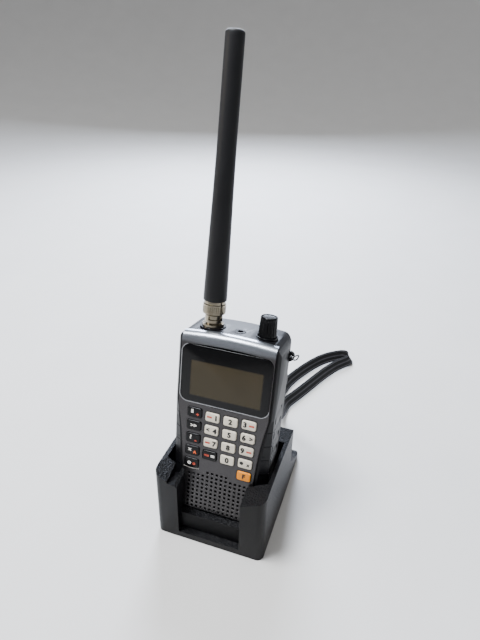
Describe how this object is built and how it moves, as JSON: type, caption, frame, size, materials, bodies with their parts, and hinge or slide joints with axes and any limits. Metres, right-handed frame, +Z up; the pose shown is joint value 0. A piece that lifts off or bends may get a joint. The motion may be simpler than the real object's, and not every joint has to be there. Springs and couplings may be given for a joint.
{
  "type": "hand-held radio scanner in a desk stand",
  "caption": "Hand-held radio scanner with a rubber antenna, keypad, screen, volume knob and wrist strap, leaning back in a desk stand.",
  "frame": {"origin": "on the desk under the stand, midway across it, 35 mm behind its front face", "axes": "+Z up, the front faces -Y, +X to the right as seen from the front; the radio leans back 11.8 degrees about X"},
  "size_m": [0.1012, 0.2659, 0.3114],
  "materials": {
    "stand_plastic": "printed in layers, satin",
    "case_plastic": "fine moulded texture",
    "panel_paint": "metallic paint, satin",
    "grip_rubber": "soft moulded",
    "window_gloss": "polished",
    "screen_glass": "satin polariser over a dark cell",
    "frame_plastic": "moulded",
    "board_laminate": "solder resist",
    "mat_rubber": "moulded silicone",
    "speaker_parts": "pressed frame and paper cone",
    "mesh_cloth": "woven",
    "nickel_plate": "nickel plated",
    "socket_plastic": "moulded",
    "core_brass": "turned, nickel plated",
    "antenna_rubber": "moulded, matte",
    "knob_plastic": "moulded, satin",
    "pot_metal": "pressed",
    "socket_steel": "plated",
    "cell_jacket": "shrink sleeve",
    "contact_steel": "plated spring steel",
    "screw_steel": "zinc plated",
    "key_light": "satin, printed digits",
    "key_dark": "gloss, printed signs",
    "key_accent": "satin",
    "strap_cord": "braided",
    "clasp_plastic": "moulded",
    "strap_webbing": "ribbed weave"
  },
  "bodies": {
    "stand": {"desk_stand": "stand_plastic"},
    "radio": {"front_case": "case_plastic", "face_panel": "panel_paint", "back_cover": "case_plastic", "left_grip": "grip_rubber", "right_grip": "grip_rubber", "display_window": "window_gloss", "screen": "screen_glass", "screen_frame": "frame_plastic", "main_board": "board_laminate", "keypad_mat": "mat_rubber", "speaker": "speaker_parts", "speaker_mesh": "mesh_cloth", "antenna_socket": "nickel_plate", "socket_collar": "socket_plastic", "knob_collar": "socket_plastic", "volume_control": "pot_metal", "earphone_socket": "socket_plastic", "cable_socket": "socket_steel", "battery_cells": "cell_jacket", "battery_contacts": "contact_steel", "case_screws": "screw_steel", "strap_lug": "case_plastic", "strap_tie": "strap_cord", "strap_clasp": "clasp_plastic", "strap_band": "strap_webbing"},
    "coupling": {"coupling_ring": "nickel_plate"},
    "antenna": {"antenna_core": "core_brass", "antenna_rubber": "antenna_rubber"},
    "volume_knob": {"knob": "knob_plastic", "knob_shaft": "pot_metal"},
    "door": {"battery_door": "case_plastic"},
    "key_hold_body": {"key_hold": "key_dark"},
    "key_scan_body": {"key_scan": "key_dark"},
    "key_search_body": {"key_search": "key_dark"},
    "key_lockout_body": {"key_lockout": "key_dark"},
    "key_power_body": {"key_power": "key_dark"},
    "key_1_body": {"key_1": "key_light"},
    "key_4_body": {"key_4": "key_light"},
    "key_7_body": {"key_7": "key_light"},
    "key_enter_body": {"key_enter": "key_dark"},
    "key_2_body": {"key_2": "key_light"},
    "key_5_body": {"key_5": "key_light"},
    "key_8_body": {"key_8": "key_light"},
    "key_0_body": {"key_0": "key_light"},
    "key_3_body": {"key_3": "key_light"},
    "key_6_body": {"key_6": "key_light"},
    "key_9_body": {"key_9": "key_light"},
    "key_dot_body": {"key_dot": "key_light"},
    "key_function_body": {"key_function": "key_accent"}
  },
  "joints": [
    {"name": "radio_lift", "type": "slide", "parent": "stand", "child": "radio", "axis": [0, 0.2045, 0.9789], "range_m": [0, 0.07]},
    {"name": "coupling_turn", "type": "hinge", "parent": "radio", "child": "coupling", "pos_m": [-0.016, 0.01821, 0.15379], "axis": [0, 0.2045, 0.9789], "range_deg": [0, 75]},
    {"name": "antenna_swivel", "type": "hinge", "parent": "radio", "child": "antenna", "pos_m": [-0.016, 0.02026, 0.16358], "axis": [0, 0.2045, 0.9789], "continuous": true},
    {"name": "volume_turn", "type": "hinge", "parent": "radio", "child": "volume_knob", "pos_m": [0.0203, 0.01637, 0.14498], "axis": [0, -0.2045, -0.9789], "range_deg": [0, 300]},
    {"name": "door_slide", "type": "slide", "parent": "radio", "child": "door", "axis": [0, -0.2045, -0.9789], "range_m": [0, 0.0045]},
    {"name": "key_hold_press", "type": "slide", "parent": "radio", "child": "key_hold_body", "axis": [0, 0.9789, -0.2045], "range_m": [0, 0.0008], "stiffness_N_per_m": 600},
    {"name": "key_scan_press", "type": "slide", "parent": "radio", "child": "key_scan_body", "axis": [0, 0.9789, -0.2045], "range_m": [0, 0.0008], "stiffness_N_per_m": 600},
    {"name": "key_search_press", "type": "slide", "parent": "radio", "child": "key_search_body", "axis": [0, 0.9789, -0.2045], "range_m": [0, 0.0008], "stiffness_N_per_m": 600},
    {"name": "key_lockout_press", "type": "slide", "parent": "radio", "child": "key_lockout_body", "axis": [0, 0.9789, -0.2045], "range_m": [0, 0.0008], "stiffness_N_per_m": 600},
    {"name": "key_power_press", "type": "slide", "parent": "radio", "child": "key_power_body", "axis": [0, 0.9789, -0.2045], "range_m": [0, 0.0008], "stiffness_N_per_m": 600},
    {"name": "key_1_press", "type": "slide", "parent": "radio", "child": "key_1_body", "axis": [0, 0.9789, -0.2045], "range_m": [0, 0.0008], "stiffness_N_per_m": 600},
    {"name": "key_4_press", "type": "slide", "parent": "radio", "child": "key_4_body", "axis": [0, 0.9789, -0.2045], "range_m": [0, 0.0008], "stiffness_N_per_m": 600},
    {"name": "key_7_press", "type": "slide", "parent": "radio", "child": "key_7_body", "axis": [0, 0.9789, -0.2045], "range_m": [0, 0.0008], "stiffness_N_per_m": 600},
    {"name": "key_enter_press", "type": "slide", "parent": "radio", "child": "key_enter_body", "axis": [0, 0.9789, -0.2045], "range_m": [0, 0.0008], "stiffness_N_per_m": 600},
    {"name": "key_2_press", "type": "slide", "parent": "radio", "child": "key_2_body", "axis": [0, 0.9789, -0.2045], "range_m": [0, 0.0008], "stiffness_N_per_m": 600},
    {"name": "key_5_press", "type": "slide", "parent": "radio", "child": "key_5_body", "axis": [0, 0.9789, -0.2045], "range_m": [0, 0.0008], "stiffness_N_per_m": 600},
    {"name": "key_8_press", "type": "slide", "parent": "radio", "child": "key_8_body", "axis": [0, 0.9789, -0.2045], "range_m": [0, 0.0008], "stiffness_N_per_m": 600},
    {"name": "key_0_press", "type": "slide", "parent": "radio", "child": "key_0_body", "axis": [0, 0.9789, -0.2045], "range_m": [0, 0.0008], "stiffness_N_per_m": 600},
    {"name": "key_3_press", "type": "slide", "parent": "radio", "child": "key_3_body", "axis": [0, 0.9789, -0.2045], "range_m": [0, 0.0008], "stiffness_N_per_m": 600},
    {"name": "key_6_press", "type": "slide", "parent": "radio", "child": "key_6_body", "axis": [0, 0.9789, -0.2045], "range_m": [0, 0.0008], "stiffness_N_per_m": 600},
    {"name": "key_9_press", "type": "slide", "parent": "radio", "child": "key_9_body", "axis": [0, 0.9789, -0.2045], "range_m": [0, 0.0008], "stiffness_N_per_m": 600},
    {"name": "key_dot_press", "type": "slide", "parent": "radio", "child": "key_dot_body", "axis": [0, 0.9789, -0.2045], "range_m": [0, 0.0008], "stiffness_N_per_m": 600},
    {"name": "key_function_press", "type": "slide", "parent": "radio", "child": "key_function_body", "axis": [0, 0.9789, -0.2045], "range_m": [0, 0.0008], "stiffness_N_per_m": 600}
  ]
}
